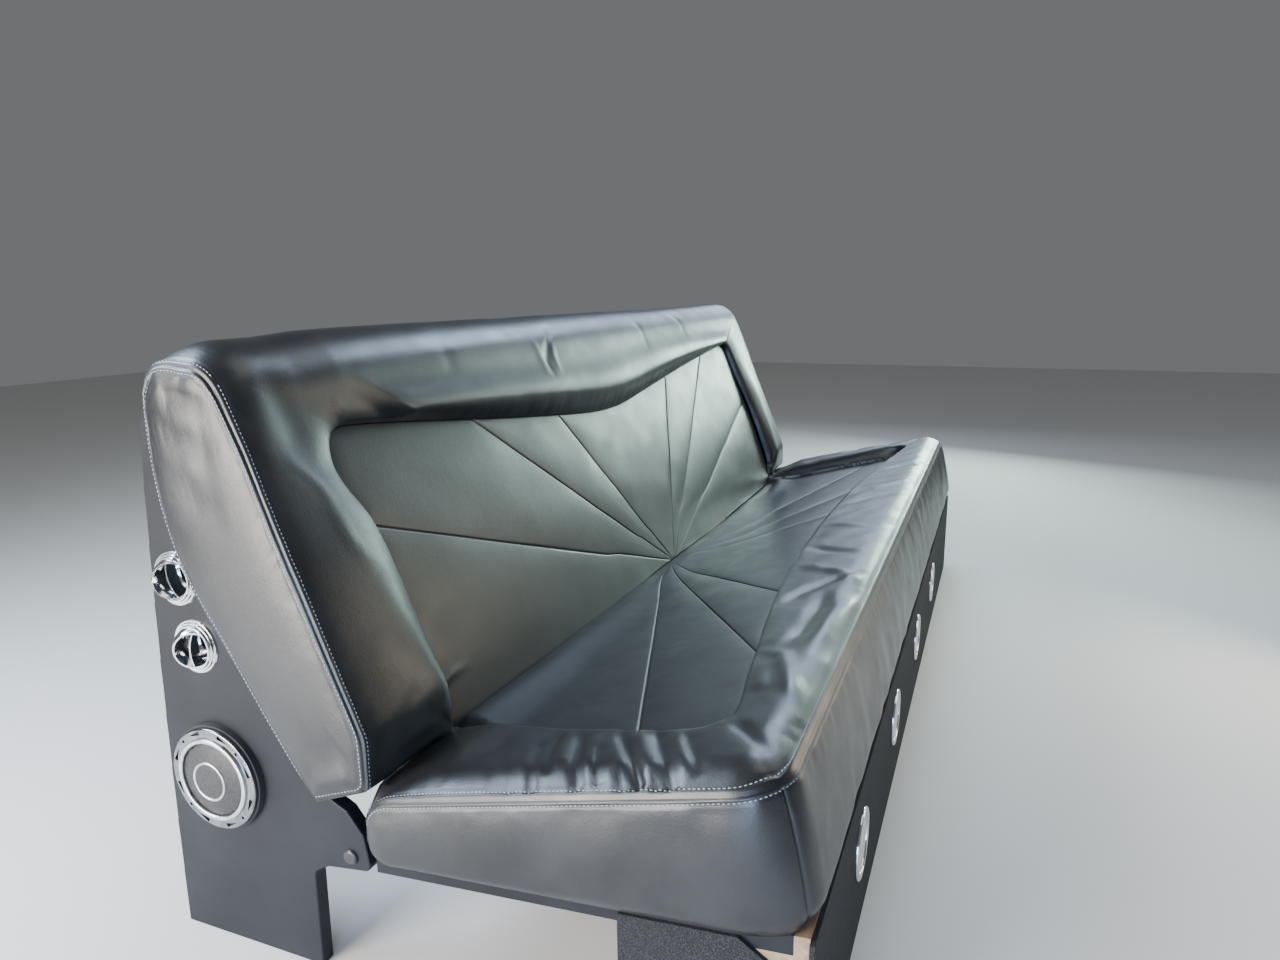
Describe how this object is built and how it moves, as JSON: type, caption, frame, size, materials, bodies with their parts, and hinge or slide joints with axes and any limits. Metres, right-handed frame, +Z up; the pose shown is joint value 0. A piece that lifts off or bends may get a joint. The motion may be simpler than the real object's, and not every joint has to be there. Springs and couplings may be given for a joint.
{
  "type": "limousine side bench seat",
  "caption": "Long black leather side bench seat for a stretched cabin, with a carpeted plinth, kick lamps and a trimmed end panel holding eyeball vents and a speaker.",
  "frame": {"origin": "on the floor at the middle of the bench's box, halfway along its length and depth", "axes": "+X along the bench away from the open trimmed end, +Y from the sitter to the wall, +Z up"},
  "size_m": [2.28, 0.96, 0.8779],
  "materials": {
    "leather": "black leather, soft sheen",
    "vinyl": "black vinyl wrap, satin",
    "plywood": "bare plywood",
    "carpet": "short black pile",
    "steel": "black paint",
    "chrome": "polished",
    "silver": "satin",
    "opal": "opal",
    "rubber": "matte",
    "mesh": "grey wire mesh",
    "cone": "matte",
    "magnet": "dull",
    "cap": "satin"
  },
  "bodies": {
    "root": {"back_cushion": "leather", "back_rib_1": "plywood", "back_rib_2": "plywood", "back_rib_3": "plywood", "back_rib_4": "plywood", "back_shell": "plywood", "bolt_cap_far": "cap", "bolt_cap_near": "cap", "end_carpet_far": "carpet", "end_carpet_near": "carpet", "end_panel_far": "vinyl", "end_panel_near": "vinyl", "floor_bracket_1": "steel", "floor_bracket_2": "steel", "floor_bracket_3": "steel", "floor_bracket_4": "steel", "front_carpet": "carpet", "kick_panel": "plywood", "lamp_lens_1": "opal", "lamp_lens_2": "opal", "lamp_lens_3": "opal", "lamp_lens_4": "opal", "lamp_ring_1": "chrome", "lamp_ring_2": "chrome", "lamp_ring_3": "chrome", "lamp_ring_4": "chrome", "plinth_cheek_far": "plywood", "plinth_cheek_near": "plywood", "plinth_divider_1": "plywood", "plinth_divider_2": "plywood", "plinth_divider_3": "plywood", "plinth_rear": "plywood", "rear_rail": "steel", "seat_board": "vinyl", "seat_cushion": "leather", "speaker_basket": "steel", "speaker_cone": "cone", "speaker_frame": "chrome", "speaker_gasket": "rubber", "speaker_grille": "mesh", "speaker_magnet": "magnet", "speaker_ring": "silver", "vent_ball_lower": "chrome", "vent_ball_upper": "chrome", "vent_socket_lower": "chrome", "vent_socket_upper": "chrome"}
  },
  "joints": []
}
